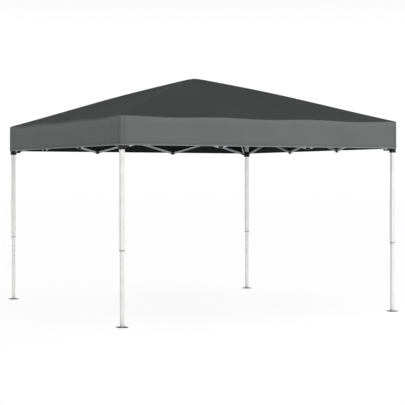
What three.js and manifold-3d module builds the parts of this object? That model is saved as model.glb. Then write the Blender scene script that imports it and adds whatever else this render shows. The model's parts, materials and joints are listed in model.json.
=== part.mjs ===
// Pop-up canopy tent: four telescopic legs, a scissor truss of three units along each side,
// folding hip rafters up to a centre hub, and a fabric canopy with a straight valance.
// Millimetres, +Z up. The origin is on the ground under the middle of the tent.
// +X runs along the front side and +Y runs from the front to the back.

import * as THREE from 'three';
import { mergeVertices } from 'three/addons/utils/BufferGeometryUtils.js';
import Module from 'manifold-3d';

const wasm = await Module();
wasm.setup();

// ---- overall sizes
const canopySide = 3000;
const eaveHeight = 1882;
const legInset = 33.5;
const clothAboveKnee = 30.5;
const clothAboveCrown = 11.5;
const valanceDrop = 264;
const fabricThickness = 1.2;
const roofSides = 4;

// ---- legs
const outerLegSide = 38;
const outerLegWall = 1.5;
const outerLegBottom = 681;
const legPlay = 2;
const innerLegWall = 1.5;
const innerLegTop = 1110;
const footSide = 92;
const footThickness = 5;
const footCorner = 12;
const stakeHoleRadius = 4.5;
const stakeHoleInset = 16;

// ---- scissor truss
const unitsPerSide = 3;
const trussBelowRafters = 22;
const trussRise = 248;
const barEndGap = 9;
const barWidth = 22;
const barThickness = 11;
const barWall = 1;
const layerGap = 1;

// ---- hip rafters and struts
const raftersBelowEave = 2;
const rafterEndGap = 24.5;
const outerRafterShare = 0.5135;
const innerRafterShare = 0.511;
const outerRafterSlope = THREE.MathUtils.degToRad(13.6);
const rafterWidth = 25;
const rafterThickness = 12;
const rafterWall = 1.2;
const strutWidth = 20;
const strutThickness = 10;
const strutWall = 1.2;
const strutEndGap = 13;
const strutStemLength = 27;
const strutStemWidth = 16;
const strutStemPlate = 4;
const foldedBarAngle = THREE.MathUtils.degToRad(86);
const foldedRafterAngle = THREE.MathUtils.degToRad(87.1);

// ---- corner brackets and sliders
const bracketWall = 6;
const bracketCorner = 6;
const bracketAbove = 22;
const bracketBelow = 28;
const bracketRoof = 3.6;
const sliderAbove = 28;
const sliderBelow = 32;
const cheekThickness = 3.2;
const cheekHeight = 26;
const cheekReach = 12;

// ---- slider lock button
const buttonDrop = 22.5;
const buttonWidth = 15;
const buttonHeight = 11;
const buttonProud = 5;
const buttonFlange = 1.5;
const buttonFlangeLip = 1.6;
const buttonHousingDepth = 7;
const buttonHousingWall = 2;
const buttonLip = 2.4;

// ---- hub
const hubPostRadius = 24;
const hubEndGap = 8.5;
const hubBelow = 26;
const postSides = 16;
const crownRadius = 62;
const crownHeight = 16;
const crownRim = 5.3;
const crownShoulderRadius = 37;
const crownShoulderHeight = 12.8;
const crownSides = 24;

// ---- pins and clearances
const pinRadius = 3;
const pinHeadRadius = 5.5;
const pinHeadThickness = 2;
const pinSides = 8;
const pinClearance = 0.4;
const faceClearance = 0.5;
const slideClearance = 0.7;
const tubeSeat = 0.4;
const weld = 0.5;
const cornerSteps = 3;
const holeReach = 10;

// ---- derived sizes
const innerLegSide = outerLegSide - 2 * (outerLegWall + legPlay);
const bracketSide = outerLegSide + 2 * bracketWall;
const buttonHousingReach = bracketSide / 2 + buttonHousingDepth;
const strutStemReach = bracketSide / 2 + strutStemLength;
const legSpacing = canopySide - 2 * legInset;
const legOffset = legSpacing / 2;
const rafterPivotHeight = eaveHeight - raftersBelowEave;
const trussPivotHeight = rafterPivotHeight - trussBelowRafters;
const trussPivotOffset = (bracketSide + barWidth) / 2 + barEndGap;
const rafterPivotOffset = (bracketSide + rafterWidth) / 2 + rafterEndGap;
const strutPivotOffset = strutStemReach + strutWidth / 2 + strutEndGap;
const hubPivotRadius = hubPostRadius + rafterWidth / 2 + hubEndGap;
const hubAbove = (rafterWidth / 2) * Math.SQRT2 + weld + slideClearance;
const unitLength = (legSpacing - 2 * trussPivotOffset) / unitsPerSide;
const barLength = Math.hypot(unitLength, trussRise);
const barAngle = Math.atan2(trussRise, unitLength);
const sliderHeight = trussPivotHeight - trussRise;
const layerOffset = (barThickness + layerGap) / 2;
const holeRadius = (pinRadius + pinClearance) / Math.cos(Math.PI / pinSides);
const outerLegTop = trussPivotHeight + bracketAbove - bracketRoof - tubeSeat;
const kneeOffset = rafterThickness + layerGap;
const strutOffset = (rafterThickness + strutThickness) / 2 + layerGap;
const hipRun = legOffset * Math.SQRT2 - rafterPivotOffset - hubPivotRadius;
const outerRafterLength = Math.round(outerRafterShare * hipRun);
const innerRafterLength = Math.round(innerRafterShare * hipRun);
const outerRafterRun = outerRafterLength * Math.cos(outerRafterSlope);
const innerRafterSlope = Math.acos((hipRun - outerRafterRun) / innerRafterLength);
const kneePivotHeight = rafterPivotHeight + outerRafterLength * Math.sin(outerRafterSlope);
const hubPivotHeight = kneePivotHeight + innerRafterLength * Math.sin(innerRafterSlope);
const kneeHeight = Math.round(kneePivotHeight + clothAboveKnee);
const apexHeight = Math.round(hubPivotHeight + hubAbove + crownHeight + clothAboveCrown);
const kneeRadius = hubPivotRadius + innerRafterLength * Math.cos(innerRafterSlope);

// The strut keeps one length from its slider to the outer rafter, open and folded.
const foldedRise = barLength * Math.sin(foldedBarAngle);
const openReach = rafterPivotHeight - sliderHeight;
const foldedReach = rafterPivotHeight - trussPivotHeight + foldedRise;
const strutSetback = rafterPivotOffset - strutPivotOffset;
const openLever = strutSetback * Math.cos(outerRafterSlope) + openReach * Math.sin(outerRafterSlope);
const foldedLever = strutSetback * Math.cos(foldedRafterAngle) - foldedReach * Math.sin(foldedRafterAngle);
const strutSeat = (foldedReach ** 2 - openReach ** 2) / (2 * (openLever - foldedLever));
const strutRun = strutSetback + strutSeat * Math.cos(outerRafterSlope);
const strutRise = openReach + strutSeat * Math.sin(outerRafterSlope);
const strutLength = Math.hypot(strutRun, strutRise);
const strutSlope = Math.atan2(strutRise, strutRun);

// x and y are the corner's signs. kneeSide is the side of the outer rafter that the inner one lies on.
const corners = [
  { name: 'front_left', x: -1, y: -1, kneeSide: 1 },
  { name: 'front_right', x: 1, y: -1, kneeSide: -1 },
  { name: 'back_right', x: 1, y: 1, kneeSide: 1 },
  { name: 'back_left', x: -1, y: 1, kneeSide: 1 },
];

// Each side runs from its first corner to its last one along +X or +Y.
// inward is the sign of the side's own Y that faces the middle of the tent.
const sides = [
  { name: 'front', first: corners[0], last: corners[1], turn: 0, inward: 1 },
  { name: 'right', first: corners[1], last: corners[2], turn: Math.PI / 2, inward: 1 },
  { name: 'left', first: corners[0], last: corners[3], turn: Math.PI / 2, inward: -1 },
  { name: 'back', first: corners[3], last: corners[2], turn: 0, inward: -1 },
];

// A diagonal lug starts just clear of the leg's corner.
const legDiagonal = (outerLegSide / 2 + slideClearance) * Math.SQRT2 + weld;
const rafterLugRoot = legDiagonal - rafterThickness / 2 - faceClearance;
const strutSide = (corner) => -corner.kneeSide;
const buttonTurn = (corner) => (corner.x < 0 ? 0 : Math.PI);

// ---- materials
const material = {
  whiteSteel: () => new THREE.MeshStandardMaterial({ color: 0xe9eaea, roughness: 0.45, metalness: 0.2 }),
  greySteel: () => new THREE.MeshStandardMaterial({ color: 0x8d9194, roughness: 0.5, metalness: 0.5 }),
  blackPlastic: () => new THREE.MeshStandardMaterial({ color: 0x17181a, roughness: 0.6, metalness: 0 }),
  charcoalFabric: () => new THREE.MeshStandardMaterial({ color: 0x4a4e4e, roughness: 0.85, metalness: 0 }),
};

// ---- joining and cutting
function solid(geometry) {
  const bare = geometry.index ? geometry.toNonIndexed() : geometry.clone();
  bare.deleteAttribute('normal');
  bare.deleteAttribute('uv');
  const merged = mergeVertices(bare, 1e-4);
  const mesh = new wasm.Mesh({
    numProp: 3,
    vertProperties: new Float32Array(merged.attributes.position.array),
    triVerts: new Uint32Array(merged.index.array),
  });
  return new wasm.Manifold(mesh);
}

function geometryOf(body) {
  const mesh = body.getMesh();
  const geometry = new THREE.BufferGeometry();
  geometry.setAttribute('position', new THREE.BufferAttribute(new Float32Array(mesh.vertProperties), 3));
  geometry.setIndex(new THREE.BufferAttribute(new Uint32Array(mesh.triVerts), 1));
  geometry.computeVertexNormals();
  return geometry;
}

const join = (bodies) => bodies.reduce((whole, piece) => whole.add(piece));
const cut = (body, holes) => holes.reduce((left, hole) => left.subtract(hole), body);

// ---- shared shapes
function block(x0, x1, y0, y1, z0, z1) {
  const geometry = new THREE.BoxGeometry(x1 - x0, y1 - y0, z1 - z0);
  return geometry.translate((x0 + x1) / 2, (y0 + y1) / 2, (z0 + z1) / 2);
}

function roundedSquare(side, radius) {
  const h = side / 2;
  const shape = new THREE.Shape();
  shape.moveTo(-h + radius, -h);
  shape.lineTo(h - radius, -h);
  shape.absarc(h - radius, -h + radius, radius, -Math.PI / 2, 0);
  shape.lineTo(h, h - radius);
  shape.absarc(h - radius, h - radius, radius, 0, Math.PI / 2);
  shape.lineTo(-h + radius, h);
  shape.absarc(-h + radius, h - radius, radius, Math.PI / 2, Math.PI);
  shape.lineTo(-h, -h + radius);
  shape.absarc(-h + radius, -h + radius, radius, Math.PI, 1.5 * Math.PI);
  return shape;
}

function rectanglePath(width, height) {
  return [
    new THREE.Vector2(-width / 2, -height / 2),
    new THREE.Vector2(width / 2, -height / 2),
    new THREE.Vector2(width / 2, height / 2),
    new THREE.Vector2(-width / 2, height / 2),
  ];
}

function rectangularTube(width, height, wall, length) {
  const shape = new THREE.Shape(rectanglePath(width, height));
  shape.holes.push(new THREE.Path(rectanglePath(width - 2 * wall, height - 2 * wall)));
  return new THREE.ExtrudeGeometry(shape, { depth: length, bevelEnabled: false });
}

// A pin or hole across a bar, along Y.
function crossCylinder(radius, y0, y1, x, z = 0) {
  const low = Math.min(y0, y1);
  const high = Math.max(y0, y1);
  const geometry = new THREE.CylinderGeometry(radius, radius, high - low, pinSides);
  return geometry.translate(x, (low + high) / 2, z);
}

// A straight tube bar along +X with its first pivot at the origin and holes across it at given stations.
function bar(width, thickness, wall, length, holes) {
  const margin = width / 2;
  const tube = rectangularTube(width, thickness, wall, length + 2 * margin);
  tube.rotateY(Math.PI / 2);
  tube.translate(-margin, 0, 0);
  return cut(solid(tube), holes.map((x) => solid(crossCylinder(holeRadius, -thickness, thickness, x))));
}

// A pin that stands out of a bar's face, through the neighbour beside it, with a head on the far side.
function standingPin(x, side, thickness, neighbour) {
  const face = thickness / 2;
  const far = face + layerGap + neighbour + faceClearance;
  return [
    solid(crossCylinder(pinRadius, side * (face - weld), side * (far + pinHeadThickness), x)),
    solid(crossCylinder(pinHeadRadius, side * far, side * (far + pinHeadThickness), x)),
    solid(crossCylinder(pinHeadRadius, -side * (face - weld), -side * (face + pinHeadThickness), x)),
  ];
}

// Two cheeks and their pin, standing out along +X from the middle of a body, around a bar of one thickness.
function clevis(root, pivot, lateral, height, thickness) {
  const inner = thickness / 2 + faceClearance;
  const outer = inner + cheekThickness;
  const half = cheekHeight / 2;
  const end = pivot + cheekReach;
  const cheeks = [
    block(root, end, lateral + inner, lateral + outer, height - half, height + half),
    block(root, end, lateral - outer, lateral - inner, height - half, height + half),
  ];
  const pin = crossCylinder(pinRadius, lateral - inner - weld, lateral + inner + weld, pivot, height);
  const heads = [-1, 1].map((side) => {
    const face = lateral + side * outer;
    return crossCylinder(pinHeadRadius, face - side * weld, face + side * pinHeadThickness, pivot, height);
  });
  return [...cheeks, pin, ...heads];
}

const turned = (geometries, angle) => geometries.map((geometry) => solid(geometry.rotateZ(angle)));
const diagonalTurn = (corner) => Math.atan2(-corner.y, -corner.x);

// The clevises that hold the ends of a corner's two scissor sides.
// level is 1 at the top, which holds each side's inward layer where it starts, and -1 on the slider.
function sideClevises(corner, level) {
  const root = bracketSide / 2 - weld;
  const here = sides.filter((side) => side.first === corner || side.last === corner);
  return here.flatMap((side) => {
    const turn = side.first === corner ? side.turn : side.turn + Math.PI;
    return turned(clevis(root, trussPivotOffset, level * side.inward * layerOffset, 0, barThickness), turn);
  });
}

function sleeve(below, above, bore) {
  const body = new THREE.ExtrudeGeometry(roundedSquare(bracketSide, bracketCorner), {
    depth: below + above,
    bevelEnabled: false,
    curveSegments: cornerSteps,
  });
  body.translate(0, 0, -below);
  return cut(solid(body), [solid(bore)]);
}

// ---- sub-parts
function outerLeg() {
  return rectangularTube(outerLegSide, outerLegSide, outerLegWall, outerLegTop - outerLegBottom);
}

// The foot plate is welded to the lower end of the inner leg.
function innerLeg() {
  const tube = rectangularTube(innerLegSide, innerLegSide, innerLegWall, innerLegTop - footThickness + weld);
  tube.translate(0, 0, footThickness - weld);
  const plate = new THREE.ExtrudeGeometry(roundedSquare(footSide, footCorner), {
    depth: footThickness,
    bevelEnabled: false,
    curveSegments: cornerSteps,
  });
  const inset = footSide / 2 - stakeHoleInset;
  const holes = [-1, 1].map((side) => {
    const hole = new THREE.CylinderGeometry(stakeHoleRadius, stakeHoleRadius, 2 * holeReach, pinSides);
    return solid(hole.rotateX(Math.PI / 2).translate(side * inset, side * inset, 0));
  });
  return geometryOf(join([cut(solid(plate), holes), solid(tube)]));
}

function topBracket(corner) {
  const half = outerLegSide / 2 + tubeSeat;
  const bore = block(-half, half, -half, half, -bracketBelow - weld, bracketAbove - bracketRoof);
  const body = sleeve(bracketBelow, bracketAbove, bore);
  const rise = rafterPivotHeight - trussPivotHeight;
  const rafterLug = clevis(rafterLugRoot, rafterPivotOffset, 0, rise, rafterThickness);
  return geometryOf(join([body, ...sideClevises(corner, 1), ...turned(rafterLug, diagonalTurn(corner))]));
}

// The strut's clevis stands on a stem, which carries it out past the bars of both sides.
function strutLug(corner) {
  const lateral = strutSide(corner) * strutOffset;
  const half = strutStemWidth / 2;
  const reach = strutThickness / 2 + faceClearance + cheekThickness;
  const low = Math.min(-half, lateral - reach);
  const high = Math.max(half, lateral + reach);
  const z = cheekHeight / 2;
  return [
    block(legDiagonal, strutStemReach, -half, half, -z, z),
    block(strutStemReach - strutStemPlate, strutStemReach, low, high, -z, z),
    ...clevis(strutStemReach - weld, strutPivotOffset, lateral, 0, strutThickness),
  ];
}

// The slider rides on the outer leg. Its lock button sits in a housing under one clevis.
function slider(corner) {
  const half = outerLegSide / 2 + slideClearance;
  const bore = block(-half, half, -half, half, -sliderBelow - weld, sliderAbove + weld);
  const body = sleeve(sliderBelow, sliderAbove, bore);
  const lugs = [...sideClevises(corner, -1), ...turned(strutLug(corner), diagonalTurn(corner))];
  const housing = buttonBlock(
    bracketSide / 2 - weld,
    buttonHousingReach,
    buttonWidth + 2 * (buttonFlangeLip + buttonHousingWall),
    buttonHeight + 2 * buttonHousingWall
  );
  const recess = buttonBlock(
    half - weld,
    buttonHousingReach - buttonLip,
    buttonWidth + 2 * (buttonFlangeLip + faceClearance),
    buttonHeight + 2 * faceClearance
  );
  const window = buttonBlock(
    half,
    buttonHousingReach + weld,
    buttonWidth + 2 * faceClearance,
    buttonHeight + 2 * faceClearance
  );
  const place = buttonTurn(corner);
  const whole = join([body, ...lugs, ...turned([housing], place)]);
  return geometryOf(cut(whole, turned([recess, window], place)));
}

function buttonBlock(x0, x1, width, height) {
  return block(x0, x1, -width / 2, width / 2, -buttonDrop - height / 2, -buttonDrop + height / 2);
}

// The button has a flange behind the housing's lip, which keeps it in.
function lockButton() {
  const flangeFace = buttonHousingReach - buttonLip - faceClearance;
  const face = buttonHousingReach + buttonProud;
  const back = flangeFace - buttonFlange;
  const stem = buttonBlock(back, face, buttonWidth, buttonHeight);
  const flange = buttonBlock(back, flangeFace, buttonWidth + 2 * buttonFlangeLip, buttonHeight);
  return geometryOf(join([solid(stem), solid(flange)]));
}

// A falling bar starts at the top and has plain holes, which the rising bars' pins pass through.
const fallingBar = () =>
  geometryOf(bar(barWidth, barThickness, barWall, barLength, [0, barLength / 2, barLength]));

// A rising bar carries the pins at its crossing and at each end that meets another bar.
function risingBar(unit, pinSide) {
  const openEnds = [...(unit === 0 ? [0] : []), ...(unit === unitsPerSide - 1 ? [barLength] : [])];
  const pinned = [0, barLength / 2, barLength].filter((x) => !openEnds.includes(x));
  const tube = bar(barWidth, barThickness, barWall, barLength, openEnds);
  const pins = pinned.flatMap((x) => standingPin(x, pinSide, barThickness, barThickness));
  return geometryOf(join([tube, ...pins]));
}

// Only the front left knee is pinned. The other three knees are left open, with their faces clear.
function outerRafter(corner) {
  const tube = bar(rafterWidth, rafterThickness, rafterWall, outerRafterLength, [0]);
  if (corner !== corners[0]) {
    return geometryOf(tube);
  }
  const pin = standingPin(outerRafterLength, corner.kneeSide, rafterThickness, rafterThickness);
  return geometryOf(join([tube, ...pin]));
}

const innerRafter = () =>
  geometryOf(bar(rafterWidth, rafterThickness, rafterWall, innerRafterLength, [0, innerRafterLength]));

const strut = () => geometryOf(bar(strutWidth, strutThickness, strutWall, strutLength, [0]));

// A post with a clevis for each inner rafter and a crown that holds up the fabric.
function hub() {
  const post = new THREE.CylinderGeometry(hubPostRadius, hubPostRadius, hubBelow + hubAbove, postSides);
  post.rotateX(Math.PI / 2).translate(0, 0, (hubAbove - hubBelow) / 2);
  const crown = new THREE.LatheGeometry(
    [
      new THREE.Vector2(0, 0),
      new THREE.Vector2(crownRadius, 0),
      new THREE.Vector2(crownRadius, crownRim),
      new THREE.Vector2(crownShoulderRadius, crownShoulderHeight),
      new THREE.Vector2(0, crownHeight),
    ],
    crownSides
  );
  crown.rotateX(Math.PI / 2).translate(0, 0, hubAbove - weld);
  const lugs = corners.flatMap((corner) => {
    const outward = diagonalTurn(corner) + Math.PI;
    const lug = clevis(hubPostRadius / 2, hubPivotRadius, -corner.kneeSide * kneeOffset, 0, rafterThickness);
    return turned(lug, outward);
  });
  return geometryOf(join([solid(post), solid(crown), ...lugs]));
}

// One shell: a straight valance, a lower roof up to the knee line and an upper roof up to the peak.
function canopy() {
  const t = fabricThickness;
  const outerRadius = canopySide * Math.SQRT1_2;
  const innerRadius = (canopySide - 2 * t) * Math.SQRT1_2;
  const profile = [
    [0, apexHeight],
    [kneeRadius, kneeHeight],
    [outerRadius, eaveHeight],
    [outerRadius, eaveHeight - valanceDrop],
    [innerRadius, eaveHeight - valanceDrop],
    [innerRadius, eaveHeight - t],
    [kneeRadius, kneeHeight - t],
    [0, apexHeight - t],
  ];
  const outline = profile.map(([r, z]) => new THREE.Vector2(r, z)).reverse();
  const shell = new THREE.LatheGeometry(outline, roofSides, Math.PI / roofSides);
  return shell.rotateX(Math.PI / 2);
}

// ---- assembly
const tent = new THREE.Group();

function add(parent, name, geometry, finish, position, rotation = [0, 0, 0]) {
  const mesh = new THREE.Mesh(geometry, finish());
  mesh.name = name;
  mesh.position.set(...position);
  mesh.rotation.set(...rotation);
  parent.add(mesh);
}

function frame(x, y, turn) {
  const group = new THREE.Group();
  group.position.set(x, y, 0);
  group.rotation.z = turn;
  tent.add(group);
  return group;
}

for (const corner of corners) {
  const upright = frame(corner.x * legOffset, corner.y * legOffset, 0);
  add(upright, `outer_leg_${corner.name}`, outerLeg(), material.whiteSteel, [0, 0, outerLegBottom]);
  add(upright, `inner_leg_${corner.name}`, innerLeg(), material.whiteSteel, [0, 0, 0]);
  const bracketAt = [[0, 0, trussPivotHeight]];
  add(upright, `top_bracket_${corner.name}`, topBracket(corner), material.blackPlastic, ...bracketAt);
  add(upright, `slider_${corner.name}`, slider(corner), material.blackPlastic, [0, 0, sliderHeight]);
  const buttonAt = [[0, 0, sliderHeight], [0, 0, buttonTurn(corner)]];
  add(upright, `lock_button_${corner.name}`, lockButton(), material.blackPlastic, ...buttonAt);
}

for (const side of sides) {
  const run = frame(side.first.x * legOffset, side.first.y * legOffset, side.turn);
  for (let unit = 0; unit < unitsPerSide; unit += 1) {
    const x = trussPivotOffset + unit * unitLength;
    const lateral = side.inward * layerOffset;
    const falling = [[x, lateral, trussPivotHeight], [0, barAngle, 0]];
    const rising = [[x, -lateral, sliderHeight], [0, -barAngle, 0]];
    add(run, `${side.name}_truss_falling_bar_${unit + 1}`, fallingBar(), material.greySteel, ...falling);
    const pinned = risingBar(unit, side.inward);
    add(run, `${side.name}_truss_rising_bar_${unit + 1}`, pinned, material.greySteel, ...rising);
  }
}

for (const corner of corners) {
  const hip = frame(corner.x * legOffset, corner.y * legOffset, diagonalTurn(corner));
  const kneeX = rafterPivotOffset + outerRafterRun;
  const outer = [[rafterPivotOffset, 0, rafterPivotHeight], [0, -outerRafterSlope, 0]];
  const inner = [[kneeX, corner.kneeSide * kneeOffset, kneePivotHeight], [0, -innerRafterSlope, 0]];
  const brace = [[strutPivotOffset, strutSide(corner) * strutOffset, sliderHeight], [0, -strutSlope, 0]];
  add(hip, `outer_rafter_${corner.name}`, outerRafter(corner), material.greySteel, ...outer);
  add(hip, `inner_rafter_${corner.name}`, innerRafter(), material.greySteel, ...inner);
  add(hip, `rafter_strut_${corner.name}`, strut(), material.greySteel, ...brace);
}

add(tent, 'centre_hub', hub(), material.blackPlastic, [0, 0, hubPivotHeight]);
add(tent, 'canopy', canopy(), material.charcoalFabric, [0, 0, 0]);

export default tent;
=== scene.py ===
import json
import math

import bmesh
import bpy
import numpy as np
from mathutils import Matrix, Vector, noise

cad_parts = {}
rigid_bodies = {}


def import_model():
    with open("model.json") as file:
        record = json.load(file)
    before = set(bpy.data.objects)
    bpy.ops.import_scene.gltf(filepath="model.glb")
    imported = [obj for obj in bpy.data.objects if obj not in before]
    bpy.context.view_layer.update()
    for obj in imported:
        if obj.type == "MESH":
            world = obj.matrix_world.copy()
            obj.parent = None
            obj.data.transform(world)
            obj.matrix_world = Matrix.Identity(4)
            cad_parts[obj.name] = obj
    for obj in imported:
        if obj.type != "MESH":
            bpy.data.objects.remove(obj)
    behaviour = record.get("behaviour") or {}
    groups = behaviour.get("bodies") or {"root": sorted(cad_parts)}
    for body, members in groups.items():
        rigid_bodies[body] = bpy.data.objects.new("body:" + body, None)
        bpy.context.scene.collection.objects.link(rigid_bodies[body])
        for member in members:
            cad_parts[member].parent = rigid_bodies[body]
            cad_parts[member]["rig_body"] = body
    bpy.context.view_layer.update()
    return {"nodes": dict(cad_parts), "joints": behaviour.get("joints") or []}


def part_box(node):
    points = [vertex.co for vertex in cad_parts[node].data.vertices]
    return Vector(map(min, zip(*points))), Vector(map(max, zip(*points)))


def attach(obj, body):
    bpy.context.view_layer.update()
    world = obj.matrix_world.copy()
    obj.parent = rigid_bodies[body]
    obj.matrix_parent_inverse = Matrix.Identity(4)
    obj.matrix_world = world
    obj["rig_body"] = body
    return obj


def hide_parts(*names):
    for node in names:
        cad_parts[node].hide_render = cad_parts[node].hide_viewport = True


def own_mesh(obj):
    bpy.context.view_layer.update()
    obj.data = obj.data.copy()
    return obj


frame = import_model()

NODES = frame["nodes"]
JOINTS = {joint["name"]: joint for joint in frame["joints"]}

# ---- the tent's layout, in metres, and each corner's signs along x and y
CORNERS = {
    "front_left": (-1, -1),
    "front_right": (1, -1),
    "back_right": (1, 1),
    "back_left": (-1, 1),
}
TRUSS_UNITS = 3
canopy_low, canopy_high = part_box("canopy")
HALF = canopy_high.x
HEM_HEIGHT = canopy_low.z
PEAK_HEIGHT = canopy_high.z
VALANCE_DROP = 0.264
EAVE_HEIGHT = HEM_HEIGHT + VALANCE_DROP
KNEE = abs(JOINTS["rafter_front_left_knee"]["pos_m"][0])
KNEE_HEIGHT = 2.148
TENT_MIDDLE = Vector((0, 0, 1.2))

# ---- the cloth
CLOTH_THICKNESS = 0.0012
THREAD = 0.0011
WAVE_PER_METRE = 1 / (2 * math.pi)

# the roof
PEAK_DROP = 0.002
PEAK_ROUNDING = 0.035
KNEE_ROUNDING = 0.012
HIP_FALLOFF = 1.6
ROOF_SAG = 0.012
ROOF_ROWS = 26
UPPER_ROW_SPACING = 1.2

# the eaves and corners
CREASED_EAVE_RADIUS = 0.012
ROLLED_EAVE_RADIUS = 0.045
ROLL_FADE = 0.35
ROLL_STEPS = 7
EAVE_DIP = 0.011
EAVE_DIP_REACH = 0.22
EAVE_SEAM_DEPTH = 0.0014
EAVE_UV_START = 0.05
CORNER_RADIUS = 0.03
CORNER_STEPS = 6
ALONG = 44

# the valance: its rows below the roll, then the doubled hem's rows as height and how far proud
VALANCE_ROWS = (0.003, 0.006, 0.010, 0.02, 0.04, 0.07, 0.10, 0.13, 0.16, 0.185)
HEM_BAND = 0.026
HEM_PROUD = 0.0012
HEM_ROWS = (
    (HEM_HEIGHT + HEM_BAND + 0.003, 0.0),
    (HEM_HEIGHT + HEM_BAND + 0.0004, 0.0),
    (HEM_HEIGHT + HEM_BAND - 0.0004, HEM_PROUD),
    (HEM_HEIGHT + HEM_BAND - 0.003, HEM_PROUD),
    (HEM_HEIGHT + HEM_BAND / 2, HEM_PROUD),
    (HEM_HEIGHT + 0.0015, HEM_PROUD),
    (HEM_HEIGHT, HEM_PROUD * 0.4),
)

# the doubled cloth at a corner and its seams, as distances from where the corner's round begins
CORNER_PATCH = 0.06
PATCH_EDGE_STEPS = (-0.003, -0.0012, -0.0004, 0.0004, 0.0012, 0.003)
FRONT_SEAMS = (0.012,)
SIDE_SEAMS = (0.012, 0.10, 0.18)
SEAM_GROOVE = 0.0016
SEAM_HALF_WIDTH = 0.004
SEAM_STEPS = (-2, -1.3, -0.7, 0, 0.7, 1.3, 2)

# uneven tension
RIPPLE = 0.0022
ROOF_RIPPLE_SCALE = 2.3
VALANCE_RIPPLE_SCALE = 3.4
FINER_RIPPLE = 2.4
FINER_RIPPLE_SHARE = 0.5
RIPPLE_FADE = 6
VALANCE_RIPPLE = 1.4
HEM_RIPPLE = 0.8
RIPPLE_STRETCH = 0.3

# ---- the hard parts
MERGE_DISTANCE = 2e-6
FLAT_ANGLE = math.radians(0.6)
SHARP_ANGLE = math.radians(25)
BAR_EDGE = 0.0011
OUTER_LEG_EDGE = 0.0022
INNER_LEG_EDGE = 0.0018
MOULDED_EDGE = 0.0009
FOOT_PLATE_TOP = 0.0055
BAR_SECTIONS = {
    "truss": (0.022, 0.011),
    "rafter_strut": (0.020, 0.010),
    "_rafter_": (0.025, 0.012),
}
BAR_END_DEPTH = 0.0005
PIN_HEAD_GAP = 0.0006
CAP_LENGTH = 0.034
CAP_PROUD = 0.0014
CAP_SIDE_PROUD = 0.0003
CAP_EDGE = 0.0012
INNER_LEG_SIDE = 0.031
COLLAR_WALL = 0.0022
COLLAR_GAP = 0.0008
COLLAR_LOW = 0.002
COLLAR_HIGH = 0.003
COLLAR_CORNER = 0.004
COLLAR_EDGE = 0.0008
COLLAR_SHARP_ANGLE = math.radians(50)
BUTTON_ABOVE_COLLAR = 0.034
BUTTON_RADIUS = 0.0042
BUTTON_PROUD = 0.0030
BUTTON_SEAT = 0.004
HOLE_COUNT = 5
HOLE_STEP = 0.05
HOLE_RADIUS = 0.0038
HOLE_PROUD = 0.0004
HOLE_SEAT = 0.001
STUD_SIDES = 20
STUD_INSET = 0.35
DOME_HEIGHT = 0.45
DISH_DEPTH = 0.7

# ---- the stage, light and camera
FLOOR_RADIUS = 70.0
FLOOR_SIDES = 96
FLOOR_BELOW = 0.0005
FLOOR_GREY = 0.80
FLOOR_GLOW = 0.74
SKY_AT_HORIZON = 1.04
SKY_OVERHEAD = 0.17
SKY_FADE = (0.10, 0.55)
CAMERA_PLACE = Vector((-5.95, -11.62, 1.33))
CAMERA_YAW = math.radians(27.51)
CAMERA_PITCH = math.radians(-1.14)
CAMERA_LENS = 111.17
CAMERA_SENSOR = 36
CAMERA_REACH = 200


# ---- meshes
def finish_mesh(name, bm, materials, smooth=True):
    """A new object at the origin that takes over a finished bmesh."""
    mesh = bpy.data.meshes.new(name)
    bm.to_mesh(mesh)
    bm.free()
    for material in materials:
        mesh.materials.append(material)
    mesh.polygons.foreach_set("use_smooth", [smooth] * len(mesh.polygons))
    piece = bpy.data.objects.new(name, mesh)
    bpy.context.scene.collection.objects.link(piece)
    return piece


def weighted(piece):
    """Flat faces keep flat shading beside their rounded edges."""
    shading = piece.modifiers.new("even_shading", "WEIGHTED_NORMAL")
    shading.keep_sharp = True
    return piece


def round_off(bm, geometry, offset, segments=2, affect="EDGES"):
    bmesh.ops.bevel(
        bm, geom=geometry, offset=offset, offset_type="OFFSET", segments=segments,
        profile=0.5, affect=affect, clamp_overlap=True, material=-1,
    )


# ---- materials
def scaled(color, factor):
    return tuple(factor * channel for channel in color)


def principled(name, color, roughness, metallic=0.0):
    material = bpy.data.materials.new(name)
    material.use_nodes = True
    shader = material.node_tree.nodes["Principled BSDF"]
    shader.inputs["Base Color"].default_value = (*color, 1)
    shader.inputs["Roughness"].default_value = roughness
    shader.inputs["Metallic"].default_value = metallic
    return material, material.node_tree, shader


def add_node(tree, kind, inputs=(), **settings):
    node = tree.nodes.new(kind)
    for key, value in settings.items():
        setattr(node, key, value)
    for key, value in dict(inputs).items():
        if isinstance(value, bpy.types.NodeSocket):
            tree.links.new(value, node.inputs[key])
        else:
            node.inputs[key].default_value = value
    return node


def coordinates(tree, output):
    return add_node(tree, "ShaderNodeTexCoord").outputs[output]


def noise_on(tree, vector, scale, detail=2.0, roughness=0.5):
    node = add_node(
        tree,
        "ShaderNodeTexNoise",
        {"Vector": vector, "Scale": scale, "Detail": detail, "Roughness": roughness},
    )
    return node.outputs["Fac"]


def ramp(tree, value, low, high, from_min=0.0, from_max=1.0):
    spans = {"From Min": from_min, "From Max": from_max, "To Min": low, "To Max": high}
    node = add_node(tree, "ShaderNodeMapRange", {"Value": value, **spans})
    return node.outputs["Result"]


def blend_colors(tree, factor, first, second):
    node = add_node(tree, "ShaderNodeMix", data_type="RGBA")
    for index, value in ((0, factor), (6, first), (7, second)):
        if isinstance(value, bpy.types.NodeSocket):
            tree.links.new(value, node.inputs[index])
        else:
            node.inputs[index].default_value = value if index == 0 else (*value, 1)
    return node.outputs[2]


def maths(tree, operation, *values):
    node = add_node(tree, "ShaderNodeMath", operation=operation)
    for index, value in enumerate(values):
        if isinstance(value, bpy.types.NodeSocket):
            tree.links.new(value, node.inputs[index])
        else:
            node.inputs[index].default_value = value
    return node.outputs[0]


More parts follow.
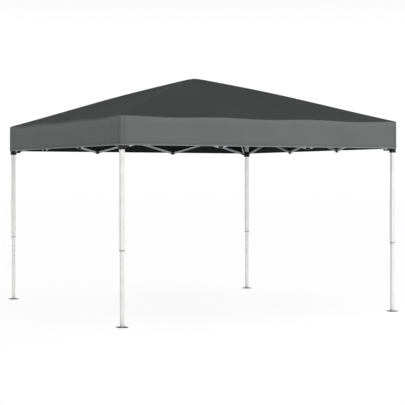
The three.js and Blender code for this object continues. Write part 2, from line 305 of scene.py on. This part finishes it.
def distance_from(tree, value, centre):
    return maths(tree, "ABSOLUTE", maths(tree, "SUBTRACT", value, centre))


def mixed(tree, operation, first, first_share, second, second_share):
    return maths(
        tree,
        operation,
        maths(tree, "MULTIPLY", first, first_share),
        maths(tree, "MULTIPLY", second, second_share),
    )


def bump(tree, shader, height, distance, strength):
    node = add_node(
        tree, "ShaderNodeBump", {"Height": height, "Distance": distance, "Strength": strength}
    )
    tree.links.new(node.outputs["Normal"], shader.inputs["Normal"])


def sewn_details(tree, uv, place, threads, color, seams):
    """The valance's top band lightened as painted light, its corner seams darkened as painted
    shade in their grooves, a painted highlight along the hem's lower edge, and the hem's stitches.
    """
    split = add_node(tree, "ShaderNodeSeparateXYZ", {"Vector": uv})
    along = split.outputs["X"]
    # Painted light: a lighter band over the eave's roll and the valance's top.
    painted_top_light = ramp(tree, split.outputs["Y"], 0.35, 0.0, EAVE_UV_START, EAVE_UV_START + 0.05)
    threads = blend_colors(tree, painted_top_light, threads, scaled(color, 1.35))
    # Painted shade: each corner seam's groove is darkened in colour.
    for seam in seams:
        away = distance_from(tree, along, HALF - CORNER_RADIUS - seam)
        line = ramp(tree, away, 0.45, 0.0, 0.0015, 0.006)
        threads = blend_colors(tree, line, threads, scaled(color, 0.35))
    height = add_node(tree, "ShaderNodeSeparateXYZ", {"Vector": place}).outputs["Z"]
    # Painted highlight: a paler band along the hem's lower edge.
    edge = ramp(tree, height, 1.0, 0.0, HEM_HEIGHT + 0.004, HEM_HEIGHT + 0.009)
    edge = maths(tree, "MULTIPLY", edge, 0.55)
    threads = blend_colors(tree, edge, threads, (0.32, 0.33, 0.33))
    stitch = distance_from(tree, height, HEM_HEIGHT + HEM_BAND - 0.004)
    line = ramp(tree, stitch, 1.0, 0.0, 0.0006, 0.0014)
    step = maths(tree, "FRACT", maths(tree, "MULTIPLY", along, 240.0))
    dash = maths(tree, "GREATER_THAN", step, 0.35)
    stitches = maths(tree, "MULTIPLY", maths(tree, "MULTIPLY", line, dash), 0.7)
    return blend_colors(tree, stitches, threads, (0.02, 0.02, 0.02))


def woven_cloth(name, color, shade, roughness, seams=()):
    """Plain woven polyester on the cloth's own UV map, in metres along and across the weave."""
    material, tree, shader = principled(name, color, roughness)
    uv = add_node(tree, "ShaderNodeUVMap", uv_map="cloth").outputs["UV"]
    place = coordinates(tree, "Object")
    waves = [
        add_node(
            tree,
            "ShaderNodeTexWave",
            {"Vector": uv, "Scale": WAVE_PER_METRE / THREAD, "Distortion": 0.6, "Detail": 1.0},
            bands_direction=direction,
        ).outputs["Fac"]
        for direction in ("X", "Y")
    ]
    weave = maths(tree, "MULTIPLY", *waves)
    crease = noise_on(tree, place, scale=3.2, detail=3.0, roughness=0.55)
    mottle = noise_on(tree, place, scale=38.0, detail=3.0, roughness=0.6)
    patchy = ramp(tree, mixed(tree, "ADD", crease, 0.6, mottle, 0.4), 0.0, 1.0, 0.3, 0.7)
    tint = blend_colors(tree, patchy, shade, color)
    threads = blend_colors(tree, ramp(tree, weave, 0.0, 0.22), tint, scaled(color, 1.5))
    if seams:
        threads = sewn_details(tree, uv, place, threads, color, seams)
    tree.links.new(threads, shader.inputs["Base Color"])
    rough = ramp(tree, mottle, roughness - 0.06, roughness + 0.08)
    tree.links.new(rough, shader.inputs["Roughness"])
    shader.inputs["Specular IOR Level"].default_value = 0.12
    shader.inputs["Sheen Weight"].default_value = 0.02
    relief = mixed(tree, "ADD", weave, 0.15, crease, 6.0)
    bump(tree, shader, relief, distance=0.0012, strength=0.6)
    return material


def powder_coat(name, color, scratch, roughness, metallic=0.0):
    """Painted steel: fine orange peel, faint smudges and a few long scuffs."""
    material, tree, shader = principled(name, color, roughness, metallic)
    place = coordinates(tree, "Object")
    peel = noise_on(tree, place, scale=900.0)
    smudge = noise_on(tree, place, scale=14.0, detail=3.0, roughness=0.6)
    stretched = add_node(
        tree, "ShaderNodeMapping", {"Vector": place, "Scale": (260.0, 260.0, 7.0)}
    ).outputs["Vector"]
    streaks = noise_on(tree, stretched, scale=1.0, roughness=0.7)
    scuff = ramp(tree, streaks, 0.0, 1.0, 0.66, 0.74)
    smudged = ramp(tree, smudge, 0.0, 1.0, 0.35, 0.7)
    tint = blend_colors(tree, smudged, color, scaled(color, 0.93))
    marked = blend_colors(tree, maths(tree, "MULTIPLY", scuff, 0.35), tint, scratch)
    tree.links.new(marked, shader.inputs["Base Color"])
    rough = ramp(tree, smudge, roughness - 0.08, roughness + 0.12)
    tree.links.new(rough, shader.inputs["Roughness"])
    relief = maths(tree, "SUBTRACT", peel, maths(tree, "MULTIPLY", scuff, 0.6))
    bump(tree, shader, relief, distance=0.00012, strength=0.5)
    return material


def moulded_nylon(name, color, roughness):
    """Moulded nylon: fine spark-eroded grain, dusty highlights and slight colour drift."""
    material, tree, shader = principled(name, color, roughness)
    shader.inputs["Specular IOR Level"].default_value = 0.25
    place = coordinates(tree, "Object")
    grain = noise_on(tree, place, scale=1400.0, detail=3.0, roughness=0.7)
    drift = noise_on(tree, place, scale=24.0, detail=3.0, roughness=0.6)
    light = tuple(channel * 1.7 + 0.004 for channel in color)
    tint = blend_colors(tree, ramp(tree, drift, 0.0, 0.7, 0.4, 0.75), color, light)
    tree.links.new(tint, shader.inputs["Base Color"])
    rough = ramp(tree, grain, roughness - 0.1, roughness + 0.12)
    tree.links.new(rough, shader.inputs["Roughness"])
    bump(tree, shader, grain, distance=0.0001, strength=0.5)
    return material


# One charcoal cloth in three colours with painted light: the roof's colour is painted darker, and
# the side valances' darker and greyer than the front and back valances', as painted shade.
ROOF_CLOTH = woven_cloth(
    "charcoal_roof_cloth", (0.122, 0.131, 0.127), (0.106, 0.114, 0.111), 0.78
)
VALANCE_CLOTH = woven_cloth(
    "charcoal_valance_cloth", (0.146, 0.158, 0.153), (0.130, 0.141, 0.137), 0.76, FRONT_SEAMS
)
SIDE_VALANCE_CLOTH = woven_cloth(
    "charcoal_side_valance_cloth", (0.134, 0.139, 0.137), (0.119, 0.124, 0.122), 0.76, SIDE_SEAMS
)
# The cloth's inner side, near black: painted shade for the dark underside of the canopy.
SHADED_CLOTH_BACK = woven_cloth(
    "painted_shade_cloth_back", (0.0095, 0.0100, 0.0104), (0.0070, 0.0075, 0.0080), 0.62
)
WHITE_COAT = powder_coat("white_powder_coat", (0.83, 0.83, 0.82), (0.55, 0.55, 0.54), 0.36)
GREY_COAT = powder_coat("grey_bar_paint", (0.33, 0.34, 0.35), (0.16, 0.16, 0.17), 0.42, 0.35)
BLACK_NYLON = moulded_nylon("black_moulded_nylon", (0.009, 0.009, 0.010), 0.55)
BLACK_PAINT = powder_coat("black_foot_paint", (0.015, 0.015, 0.016), (0.10, 0.10, 0.10), 0.45)
BRIGHT_ZINC = powder_coat("bright_zinc", (0.62, 0.62, 0.60), (0.35, 0.34, 0.32), 0.28, 0.9)


# ---- the cloth's shape
UPPER_SLOPE = (PEAK_HEIGHT - KNEE_HEIGHT) / KNEE
LOWER_SLOPE = (KNEE_HEIGHT - EAVE_HEIGHT) / (HALF - KNEE)
ROLL_START = math.atan(LOWER_SLOPE)


def smooth_min(a, b, width):
    gap = max(width - abs(a - b), 0.0) / width
    return min(a, b) - gap * gap * width / 4


def eave_dip(along):
    """How far the eave hangs between its corners and the truss joints that hold it up."""
    return EAVE_DIP * math.sin(TRUSS_UNITS / 2 * math.pi * (along / HALF + 1)) ** 2


def ripple(point, scale):
    broad = noise.noise(Vector(point) * scale)
    return broad + FINER_RIPPLE_SHARE * noise.noise(Vector(point) * FINER_RIPPLE * scale)


def roof_height(x, y):
    """The roof's height over a point.

    Each side has two slopes, rounded where they meet, and sags slightly between the hips.
    """
    run = max(abs(x), abs(y))
    along = min(abs(x), abs(y)) * (1 if (x if abs(y) > abs(x) else y) > 0 else -1)
    top = PEAK_HEIGHT - PEAK_DROP
    soft_run = math.sqrt(run * run + PEAK_ROUNDING**2) - PEAK_ROUNDING
    upper = top - UPPER_SLOPE * soft_run
    lower = EAVE_HEIGHT + LOWER_SLOPE * (HALF - run)
    hip = smooth_min(upper, lower, KNEE_ROUNDING)
    middle = top - (top - EAVE_HEIGHT) * soft_run / (HALF - PEAK_ROUNDING)
    share = run / HALF
    near_hip = abs(along) / run if run > 1e-6 else 1.0
    across = 1 - near_hip**2
    height = middle + (hip - middle) * near_hip**HIP_FALLOFF
    sag = ROOF_SAG * across * math.sin(math.pi * share)
    dip = eave_dip(along) * math.exp(-((HALF - run) / EAVE_DIP_REACH))
    uneven = RIPPLE * ripple((x, y, 0.0), ROOF_RIPPLE_SCALE) * across * (1 - share**RIPPLE_FADE)
    return height - sag - dip + uneven


def edge_row():
    """Half of one side's eave, from its middle to its corner's diagonal.

    Each point is its place along the side and outward, then its outward normal in plan.
    """
    straight = HALF - CORNER_RADIUS
    stops = [straight * i / ALONG for i in range(ALONG)]
    stops += [straight - CORNER_PATCH + step for step in PATCH_EDGE_STEPS] + [straight]
    for seam in SIDE_SEAMS:
        stops += [straight - seam + SEAM_HALF_WIDTH * step for step in SEAM_STEPS]
    row = [(stop, HALF, 0.0, 1.0) for stop in sorted(stops)]
    for i in range(1, CORNER_STEPS + 1):
        angle = math.pi / 2 - i * math.pi / (4 * CORNER_STEPS)
        c, s = math.cos(angle), math.sin(angle)
        row.append((straight + CORNER_RADIUS * c, straight + CORNER_RADIUS * s, c, s))
    return row


EDGE = edge_row()


def eave_radius(along, run_along_x):
    """The front and back eaves are sewn creases.

    The left and right ones roll over, and tighten at the corners.
    """
    if run_along_x:
        return CREASED_EAVE_RADIUS
    open_part = min(max((HALF - CORNER_RADIUS - along) / ROLL_FADE, 0.0), 1.0)
    ease = open_part * open_part * (3 - 2 * open_part)
    return CREASED_EAVE_RADIUS + (ROLLED_EAVE_RADIUS - CREASED_EAVE_RADIUS) * ease


def roll_inset(along, run_along_x):
    """How far inside the eave's line the roof ends and the roll begins."""
    return eave_radius(along, run_along_x) * (1 - math.sin(ROLL_START))


def in_plan(corner, run_along_x, along, run):
    """A half-side's own along and outward distances as x and y."""
    sx, sy = CORNERS[corner]
    return (sx * along, sy * run) if run_along_x else (sx * run, sy * along)


def cloth_from_rows(name, rows, uvs, outside):
    """A grid laid onto rows of points, with its UV map in metres of cloth."""
    last_row, last = len(rows) - 1, len(rows[0]) - 1

    def cell(co):
        return round((co.y + 0.5) * last_row), round((co.x + 0.5) * last)

    bm = bmesh.new()
    layer = bm.loops.layers.uv.new("cloth")
    bmesh.ops.create_grid(bm, x_segments=last, y_segments=last_row, size=0.5)
    for face in bm.faces:
        for loop in face.loops:
            row, place = cell(loop.vert.co)
            loop[layer].uv = uvs[row][place]
    for vert in bm.verts:
        row, place = cell(vert.co)
        vert.co = rows[row][place]
    bmesh.ops.remove_doubles(bm, verts=bm.verts, dist=1e-6)
    bm.normal_update()
    facing = sum(face.normal.dot(face.calc_center_median() - TENT_MIDDLE) for face in bm.faces)
    if facing < 0:
        bmesh.ops.reverse_faces(bm, faces=bm.faces)
    for edge in bm.edges:
        edge.smooth = not edge.is_boundary
    piece = finish_mesh(name, bm, [outside, SHADED_CLOTH_BACK])
    wall = piece.modifiers.new("cloth_thickness", "SOLIDIFY")
    wall.thickness = CLOTH_THICKNESS
    wall.offset = -1
    wall.material_offset = 1
    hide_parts("canopy")
    return piece


def roof_panels(corner, run_along_x):
    """The two panels of half a side: from the peak to the knee line, and on to the eave."""
    side = "x" if run_along_x else "y"
    last = len(EDGE) - 1
    shares = [i / last for i in range(last + 1)]
    knee_line = [(KNEE * v, 2 * KNEE * (1 - v) + KNEE * v) for v in shares]
    edge_line = [
        (a - nx * roll_inset(a, run_along_x), r - ny * roll_inset(a, run_along_x))
        for a, r, nx, ny in EDGE
    ]

    def row_of(points):
        row = []
        for along, run in points:
            x, y = in_plan(corner, run_along_x, along, run)
            row.append((x, y, roof_height(x, y)))
        return row

    def uv_of(points):
        return [(along, run / math.cos(ROLL_START)) for along, run in points]

    steps = [i / ROOF_ROWS for i in range(ROOF_ROWS + 1)]
    upper = [[(u * a, u * r) for a, r in knee_line] for u in (v**UPPER_ROW_SPACING for v in steps)]
    pairs = list(zip(knee_line, edge_line))
    lower = [
        [((1 - u) * a + u * c, (1 - u) * b + u * d) for (a, b), (c, d) in pairs] for u in steps
    ]
    for points, part, slope in ((upper, "inner", UPPER_SLOPE), (lower, "outer", LOWER_SLOPE)):
        name = f"roof_{part}_panel_{corner}_{side}"
        rows, uvs = [row_of(p) for p in points], [uv_of(p) for p in points]
        piece = cloth_from_rows(name, rows, uvs, ROOF_CLOTH)
        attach(piece, f"{part}_rafter_{corner}")
        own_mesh(piece)


def corner_doubling(along, run_along_x):
    """How far the doubled cloth round a corner stands proud, less its pulled-in seams."""
    inward = HALF - CORNER_RADIUS - along
    seams = FRONT_SEAMS if run_along_x else SIDE_SEAMS
    groove = sum(math.exp(-(((inward - seam) / SEAM_HALF_WIDTH) ** 2)) for seam in seams)
    return (CLOTH_THICKNESS if inward < CORNER_PATCH else 0.0) - SEAM_GROOVE * groove


def valance(corner, run_along_x):
    """Half of one side's valance: the eave's roll, the drop and the doubled hem."""
    side = "x" if run_along_x else "y"
    travelled = [0.0]
    for (a0, r0, *_), (a1, r1, *_) in zip(EDGE, EDGE[1:]):
        travelled.append(travelled[-1] + math.hypot(a1 - a0, r1 - r0))

    def moved_out(edge, out):
        along, run, nx, ny = edge
        return in_plan(corner, run_along_x, along + nx * out, run + ny * out)

    def top_of(edge):
        return roof_height(*moved_out(edge, -roll_inset(edge[0], run_along_x)))

    def uneven(edge, height):
        return ripple((*moved_out(edge, 0.0), RIPPLE_STRETCH * height), VALANCE_RIPPLE_SCALE)

    rows, uvs = [], []
    for i in range(ROLL_STEPS + 1):
        angle = ROLL_START + (math.pi / 2 - ROLL_START) * i / ROLL_STEPS
        row, uv_row = [], []
        for edge, t in zip(EDGE, travelled):
            radius = eave_radius(edge[0], run_along_x)
            drop = radius * (math.cos(ROLL_START) - math.cos(angle))
            row.append((*moved_out(edge, -radius * (1 - math.sin(angle))), top_of(edge) - drop))
            uv_row.append((t, radius * (angle - ROLL_START)))
        rows.append(row)
        uvs.append(uv_row)
    for drop in VALANCE_ROWS:
        row = []
        share = drop / (VALANCE_DROP - HEM_BAND)
        swing = RIPPLE * VALANCE_RIPPLE * math.sin(math.pi * min(share, 1.0) * 0.8)
        for edge in EDGE:
            fall = eave_radius(edge[0], run_along_x) * math.cos(ROLL_START)
            top = top_of(edge) - fall
            height = top - drop - (top - (EAVE_HEIGHT - fall)) * share
            out = swing * uneven(edge, height)
            out -= EAVE_SEAM_DEPTH if run_along_x and drop == VALANCE_ROWS[0] else 0.0
            out += corner_doubling(edge[0], run_along_x)
            row.append((*moved_out(edge, out), height))
        rows.append(row)
        uvs.append([(t, EAVE_UV_START + drop) for t in travelled])
    for height, proud in HEM_ROWS:
        row = []
        for edge in EDGE:
            out = RIPPLE * HEM_RIPPLE * uneven(edge, HEM_HEIGHT) + proud
            out += corner_doubling(edge[0], run_along_x)
            row.append((*moved_out(edge, out), height))
        rows.append(row)
        uvs.append([(t, EAVE_UV_START + EAVE_HEIGHT - height) for t in travelled])
    outside = VALANCE_CLOTH if run_along_x else SIDE_VALANCE_CLOTH
    piece = cloth_from_rows(f"valance_{corner}_{side}", rows, uvs, outside)
    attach(piece, f"leg_{corner}")
    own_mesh(piece)


for corner_name in CORNERS:
    for along_x in (True, False):
        roof_panels(corner_name, along_x)
        valance(corner_name, along_x)


# ---- hard parts
def finished_copy(node, name, edge, materials, choose=None):
    """A merged copy of a frame part with rounded edges, which stands for it."""
    bm = bmesh.new()
    bm.from_mesh(NODES[node].data)
    bmesh.ops.remove_doubles(bm, verts=bm.verts, dist=MERGE_DISTANCE)
    bmesh.ops.dissolve_limit(bm, angle_limit=FLAT_ANGLE, verts=bm.verts, edges=bm.edges)
    sharp = [e for e in bm.edges if len(e.link_faces) == 2 and e.calc_face_angle() > SHARP_ANGLE]
    round_off(bm, sharp, edge)
    if choose:
        for face in bm.faces:
            face.material_index = choose(face)
    piece = weighted(finish_mesh(name, bm, materials))
    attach(piece, NODES[node]["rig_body"])
    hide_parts(node)
    return piece


def bar_ends(node):
    """Both ends of a bar: the middle of the end and its direction out."""
    points = np.array([v.co for v in NODES[node].data.vertices], float)
    middle = points.mean(0)
    axis = np.linalg.svd(points - middle, full_matrices=False)[2][0]
    for sign in (1, -1):
        far = (points @ (sign * axis)).max()
        end = points[points @ (sign * axis) > far - BAR_END_DEPTH]
        yield end.mean(0), sign * axis


def box_along(bm, centre, out, size, lateral, round_by):
    """A rounded block, with its size given along out, along lateral and across both."""
    out = Vector(out).normalized()
    side = Vector(lateral).normalized()
    up = out.cross(side).normalized()
    turn = Matrix((out, side, up)).transposed().to_4x4()
    made = bmesh.ops.create_cube(bm, size=1.0)["verts"]
    bmesh.ops.scale(bm, vec=size, verts=made)
    bmesh.ops.transform(bm, matrix=Matrix.Translation(centre) @ turn, verts=made)
    round_off(bm, list(dict.fromkeys(e for v in made for e in v.link_edges)), round_by)


def end_caps(node, width, thickness):
    """Black moulded caps over both ends of a bar."""
    size = (CAP_LENGTH, thickness + 2 * CAP_SIDE_PROUD, width + 2 * CAP_PROUD)
    bm = bmesh.new()
    for centre, out in bar_ends(node):
        lateral = Vector((-out[1], out[0], 0))
        middle = Vector(centre) + Vector(out) * (CAP_PROUD - CAP_LENGTH / 2)
        box_along(bm, middle, out, size, lateral, CAP_EDGE)
    piece = weighted(finish_mesh(f"{node}_end_caps", bm, [BLACK_NYLON]))
    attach(piece, NODES[node]["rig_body"])


def beyond_face(node, thickness):
    """Tells the pin heads from the bar that carries them."""
    (near, out), (far, _) = bar_ends(node)
    lateral = Vector((-out[1], out[0], 0)).normalized()
    middle = (Vector(near) + Vector(far)).dot(lateral) / 2
    reach = thickness / 2 + PIN_HEAD_GAP
    return lambda face: int(abs(face.calc_center_median().dot(lateral) - middle) > reach)


def square_ring(bm, centre, outer, inner, low, high):
    """A collar with rounded corners round a square tube."""
    bmesh.ops.create_grid(bm, x_segments=1, y_segments=1, size=outer / 2)
    round_off(bm, bm.verts[:], COLLAR_CORNER, segments=3, affect="VERTICES")
    middle = bm.faces[:]
    bmesh.ops.inset_region(
        bm, faces=middle, thickness=(outer - inner) / 2, use_boundary=True, use_even_offset=True
    )
    bmesh.ops.delete(bm, geom=middle, context="FACES")
    ring = bmesh.ops.extrude_face_region(bm, geom=bm.faces[:])["geom"]
    raised = [item for item in ring if isinstance(item, bmesh.types.BMVert)]
    bmesh.ops.translate(bm, vec=(0, 0, high - low), verts=raised)
    bmesh.ops.translate(bm, vec=(*centre, low), verts=bm.verts)
    bmesh.ops.recalc_face_normals(bm, faces=bm.faces)
    edges = [e for e in bm.edges if e.calc_face_angle(0) > COLLAR_SHARP_ANGLE]
    round_off(bm, edges, COLLAR_EDGE)


def stud(bm, place, outward, radius, proud, seat, dished=False):
    """A round button or plug that stands out of a face, domed or with a dished end."""
    made = bmesh.ops.create_cone(
        bm, cap_ends=True, cap_tris=False, segments=STUD_SIDES,
        radius1=radius, radius2=radius, depth=proud + seat,
    )["verts"]
    bmesh.ops.translate(bm, vec=(0, 0, (proud - seat) / 2), verts=made)
    faces = dict.fromkeys(f for v in made for f in v.link_faces)
    cap = [f for f in faces if f.calc_center_median().z > proud - 1e-5]
    depth = -proud * DISH_DEPTH if dished else proud * DOME_HEIGHT
    ring = bmesh.ops.inset_region(bm, faces=cap, thickness=radius * STUD_INSET, depth=depth)
    made = list(dict.fromkeys(made + [v for f in ring["faces"] + cap for v in f.verts]))
    turn = Vector(outward).to_track_quat("Z", "Y").to_matrix().to_4x4()
    bmesh.ops.transform(bm, matrix=Matrix.Translation(place) @ turn, verts=made)


def fitting(name, bm, material, body):
    piece = weighted(finish_mesh(name, bm, [material]))
    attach(piece, body)


def leg_fittings(corner):
    """An outer leg's collar, and the inner leg's snap button and height holes.

    The button and the holes face the middle of the tent.
    """
    low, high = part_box(f"outer_leg_{corner}")
    x, y = (low.x + high.x) / 2, (low.y + high.y) / 2
    side = high.x - low.x
    sy = CORNERS[corner][1]
    # A black nylon collar at the outer leg's lower end; its dark band also stands in for the
    # shadow line under the outer tube's end, as painted shade.
    bm = bmesh.new()
    square_ring(
        bm, (x, y), side + 2 * COLLAR_WALL, INNER_LEG_SIDE + COLLAR_GAP,
        low.z - COLLAR_LOW, low.z + COLLAR_HIGH,
    )
    fitting(f"leg_collar_{corner}", bm, BLACK_NYLON, f"leg_{corner}")

    inner_leg = f"inner_leg_{corner}"
    bm = bmesh.new()
    place = (x, y - sy * side / 2, low.z + BUTTON_ABOVE_COLLAR)
    stud(bm, place, (0, -sy, 0), BUTTON_RADIUS, BUTTON_PROUD, BUTTON_SEAT)
    fitting(f"height_button_{corner}", bm, BRIGHT_ZINC, inner_leg)

    # The height holes are black dished discs on the inner leg's face; their black is painted shade
    # for the holes' dark insides.
    bm = bmesh.new()
    for i in range(1, HOLE_COUNT + 1):
        place = (x, y - sy * INNER_LEG_SIDE / 2, low.z - HOLE_STEP * i)
        stud(bm, place, (0, -sy, 0), HOLE_RADIUS, HOLE_PROUD, HOLE_SEAT, dished=True)
    fitting(f"height_holes_{corner}", bm, BLACK_NYLON, inner_leg)


for corner_name in CORNERS:
    leg_fittings(corner_name)

for node_name in sorted(NODES):
    if "bar_" in node_name or "rafter" in node_name:
        section = next(size for word, size in BAR_SECTIONS.items() if word in node_name)
        bar = finished_copy(
            node_name, f"{node_name}_painted", BAR_EDGE, [GREY_COAT, BLACK_PAINT],
            choose=beyond_face(node_name, section[1]),
        )
        end_caps(node_name, *section)
    elif node_name.startswith("outer_leg"):
        leg = finished_copy(node_name, f"{node_name}_coated", OUTER_LEG_EDGE, [WHITE_COAT])
    elif node_name.startswith("inner_leg"):
        leg = finished_copy(
            node_name, f"{node_name}_coated", INNER_LEG_EDGE, [WHITE_COAT, BLACK_PAINT],
            choose=lambda face: int(face.calc_center_median().z < FOOT_PLATE_TOP),
        )
    elif node_name != "canopy":
        part = finished_copy(node_name, f"{node_name}_moulded", MOULDED_EDGE, [BLACK_NYLON])


# ---- stage, light and camera
def stage():
    """A pale floor that glows a little, so that it stays nearly white."""
    bm = bmesh.new()
    bmesh.ops.create_circle(bm, cap_ends=True, segments=FLOOR_SIDES, radius=FLOOR_RADIUS)
    bmesh.ops.translate(bm, vec=(0, 0, -FLOOR_BELOW), verts=bm.verts)
    floor_material, _, shader = principled("pale_studio_floor", (FLOOR_GREY,) * 3, 0.9)
    shader.inputs["Emission Color"].default_value = (1, 1, 1, 1)
    shader.inputs["Emission Strength"].default_value = FLOOR_GLOW
    finish_mesh("studio_floor", bm, [floor_material], smooth=False)


def area_light(name, place, target, size, power):
    lamp = bpy.data.lights.new(name, "AREA")
    lamp.shape = "DISK"
    lamp.size = size
    lamp.energy = power
    obj = bpy.data.objects.new(name, lamp)
    obj.location = place
    obj.rotation_euler = (Vector(target) - Vector(place)).to_track_quat("-Z", "Y").to_euler()
    bpy.context.scene.collection.objects.link(obj)


def studio_sky():
    """White at the horizon and dimmer overhead."""
    world = bpy.data.worlds.new("studio_sky")
    bpy.context.scene.world = world
    world.use_nodes = True
    tree = world.node_tree
    background = tree.nodes["Background"]
    place = coordinates(tree, "Generated")
    height = add_node(tree, "ShaderNodeSeparateXYZ", {"Vector": place}).outputs["Z"]
    shade = ramp(tree, height, SKY_AT_HORIZON, SKY_OVERHEAD, *SKY_FADE)
    tree.links.new(shade, background.inputs["Color"])
    background.inputs["Strength"].default_value = 1.0


def camera():
    forward = Vector((
        math.sin(CAMERA_YAW) * math.cos(CAMERA_PITCH),
        math.cos(CAMERA_YAW) * math.cos(CAMERA_PITCH),
        math.sin(CAMERA_PITCH),
    ))
    right = Vector((math.cos(CAMERA_YAW), -math.sin(CAMERA_YAW), 0))
    up = right.cross(forward)
    turn = Matrix((right, up, -forward)).transposed().to_4x4()
    lens = bpy.data.cameras.new("product_camera")
    lens.lens = CAMERA_LENS
    lens.sensor_width = CAMERA_SENSOR
    lens.clip_end = CAMERA_REACH
    obj = bpy.data.objects.new("product_camera", lens)
    obj.matrix_world = Matrix.Translation(CAMERA_PLACE) @ turn
    bpy.context.scene.collection.objects.link(obj)
    bpy.context.scene.camera = obj


stage()
studio_sky()
area_light("front_right_softbox", (4.0, -10.0, 1.6), (0, 0, 1.6), size=5.0, power=300.0)
camera()
bpy.context.scene.view_settings.view_transform = "Standard"
